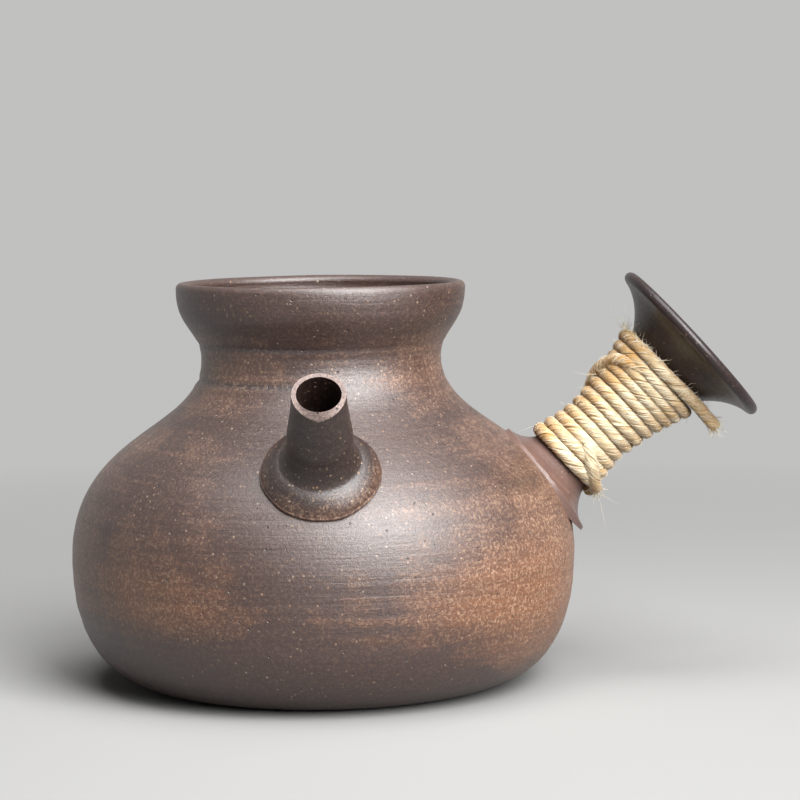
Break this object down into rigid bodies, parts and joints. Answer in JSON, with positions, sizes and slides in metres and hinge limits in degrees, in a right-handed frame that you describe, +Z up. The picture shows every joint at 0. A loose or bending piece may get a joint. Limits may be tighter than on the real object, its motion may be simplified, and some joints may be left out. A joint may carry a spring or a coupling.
{
  "type": "side-handle teapot",
  "caption": "Lidless stoneware side-handle teapot: round low belly, flared open mouth, short flanged spout and a hollow trumpet handle wound with cord.",
  "frame": {"origin": "centre of the flat base, on the surface the pot stands on", "axes": "+Z up along the pot's turning axis, -Y towards the spout, +X towards the handle"},
  "size_m": [0.1433, 0.114, 0.0846],
  "materials": {
    "stoneware": "unglazed satin brown stoneware with coarse pale grit and throwing lines",
    "dark_stoneware": "dark purple-brown satin stoneware",
    "jute_cord": "two-ply twisted natural jute with loose fibres"
  },
  "bodies": {
    "root": {"pot_body": "stoneware", "spout": "stoneware", "strainer": "stoneware", "handle": "dark_stoneware", "handle_cord": "jute_cord"}
  },
  "joints": []
}
